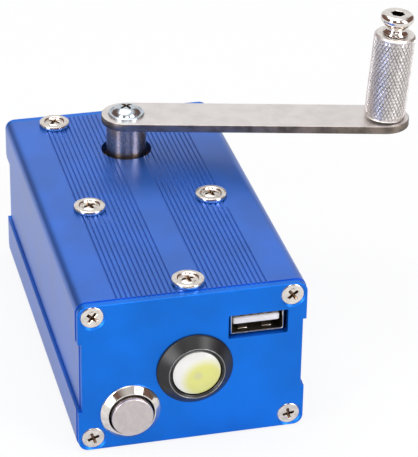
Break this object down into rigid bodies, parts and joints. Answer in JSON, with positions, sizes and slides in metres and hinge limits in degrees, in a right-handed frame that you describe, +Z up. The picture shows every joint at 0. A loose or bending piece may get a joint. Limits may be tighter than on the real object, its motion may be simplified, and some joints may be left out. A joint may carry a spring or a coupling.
{
  "type": "hand crank generator",
  "caption": "Box-shaped hand crank generator with a flat crank arm and knurled grip on top, and a USB socket, lamp and push button on the front.",
  "frame": {"origin": "centre of the case's flat bottom face", "axes": "+X to the right of the front plate, +Y to the back, +Z up"},
  "size_m": [0.0967, 0.0989, 0.077],
  "materials": {
    "blue_aluminium": "fine satin blue anodising",
    "nickel_screw": "nickel plated, bright",
    "zinc_screw": "zinc plated, bright",
    "turned_steel": "turned, lightly oiled",
    "arm_steel": "rolled flat bar, satin",
    "knurled_steel": "bright, knurled",
    "polished_steel": "polished",
    "satin_cap": "fine satin",
    "frame_plate": "plain milled",
    "bush_bronze": "sintered",
    "gear_steel": "cut, oiled",
    "can_steel": "zinc plated sheet",
    "lamination": "stacked sheet",
    "magnet": "ground",
    "copper": "enamelled wire",
    "socket_nickel": "bright tin plate",
    "white_plastic": "moulded",
    "board_green": "solder mask on glass cloth",
    "black_plastic": "moulded",
    "capacitor_sleeve": "shrunk sleeve",
    "black_aluminium": "black anodising",
    "lens": "clear, domed",
    "phosphor": "phosphor on a round board"
  },
  "bodies": {
    "case": {"upper_shell": "blue_aluminium", "lower_shell": "blue_aluminium", "front_plate": "blue_aluminium", "rear_plate": "blue_aluminium", "front_plate_screws": "nickel_screw", "rear_plate_screws": "nickel_screw", "gearbox_top_screws": "nickel_screw", "board_screw": "nickel_screw", "generator_screws": "zinc_screw", "gearbox_base_screws": "zinc_screw", "first_idler_axle": "turned_steel", "second_idler_axle": "turned_steel", "idler_clips": "turned_steel", "rotor_upper_bearing": "turned_steel", "rotor_lower_bearing": "turned_steel", "button_housing": "polished_steel", "gearbox_top_plate": "frame_plate", "gearbox_base_plate": "frame_plate", "gearbox_pillars": "frame_plate", "board_spacer": "frame_plate", "upper_shaft_bush": "bush_bronze", "lower_shaft_bush": "bush_bronze", "generator_can": "can_steel", "generator_end_cap": "can_steel", "generator_stator": "lamination", "generator_coils": "copper", "usb_shell": "socket_nickel", "usb_contacts": "socket_nickel", "board_nut": "socket_nickel", "button_nut": "socket_nickel", "lamp_terminals": "socket_nickel", "button_terminals": "socket_nickel", "button_spring": "socket_nickel", "usb_tongue": "white_plastic", "circuit_board": "board_green", "voltage_regulator": "black_plastic", "rectifier_block": "black_plastic", "power_inductor": "black_plastic", "button_contact_block": "black_plastic", "lamp_insulator": "black_plastic", "storage_capacitor": "capacitor_sleeve", "lamp_housing": "black_aluminium", "lamp_nut": "black_aluminium", "lamp_lens": "lens", "lamp_emitter": "phosphor"},
    "crank": {"crank_shaft": "turned_steel", "crank_gear": "gear_steel", "crank_gear_pin": "turned_steel", "crank_arm": "arm_steel", "arm_screw": "zinc_screw", "grip_pin": "polished_steel"},
    "grip": {"grip": "knurled_steel"},
    "first_idler": {"first_idler_gear": "gear_steel"},
    "second_idler": {"second_idler_gear": "gear_steel"},
    "rotor": {"rotor_shaft": "turned_steel", "rotor_magnet": "magnet", "rotor_pinion": "gear_steel"},
    "button": {"button_cap": "satin_cap"}
  },
  "joints": [
    {"name": "crank_turn", "type": "hinge", "parent": "case", "child": "crank", "pos_m": [0.0003, 0.0255, 0.0467], "axis": [0, 0, 1], "continuous": true},
    {"name": "grip_spin", "type": "hinge", "parent": "crank", "child": "grip", "pos_m": [0.06302, 0.01044, 0.0487], "axis": [0.0678, -0.0163, 0.9976], "continuous": true},
    {"name": "first_idler_turn", "type": "hinge", "parent": "case", "child": "first_idler", "pos_m": [0.0003, 0.0031, 0.029], "axis": [0, 0, 1], "continuous": true},
    {"name": "second_idler_turn", "type": "hinge", "parent": "case", "child": "second_idler", "pos_m": [0.0003, -0.0119, 0.024], "axis": [0, 0, 1], "continuous": true},
    {"name": "rotor_turn", "type": "hinge", "parent": "case", "child": "rotor", "pos_m": [0.0003, 0.0031, 0.012], "axis": [0, 0, 1], "continuous": true},
    {"name": "button_press", "type": "slide", "parent": "case", "child": "button", "axis": [0, 1, 0], "range_m": [0, 0.0015], "stiffness_N_per_m": 400, "springref_m": -0.001, "deforming": ["button_spring"]}
  ],
  "couplings": [
    {"joint": "first_idler_turn", "follows": "crank_turn", "ratio": -3.3077},
    {"joint": "second_idler_turn", "follows": "crank_turn", "ratio": 10.474},
    {"joint": "rotor_turn", "follows": "crank_turn", "ratio": -41.897}
  ]
}
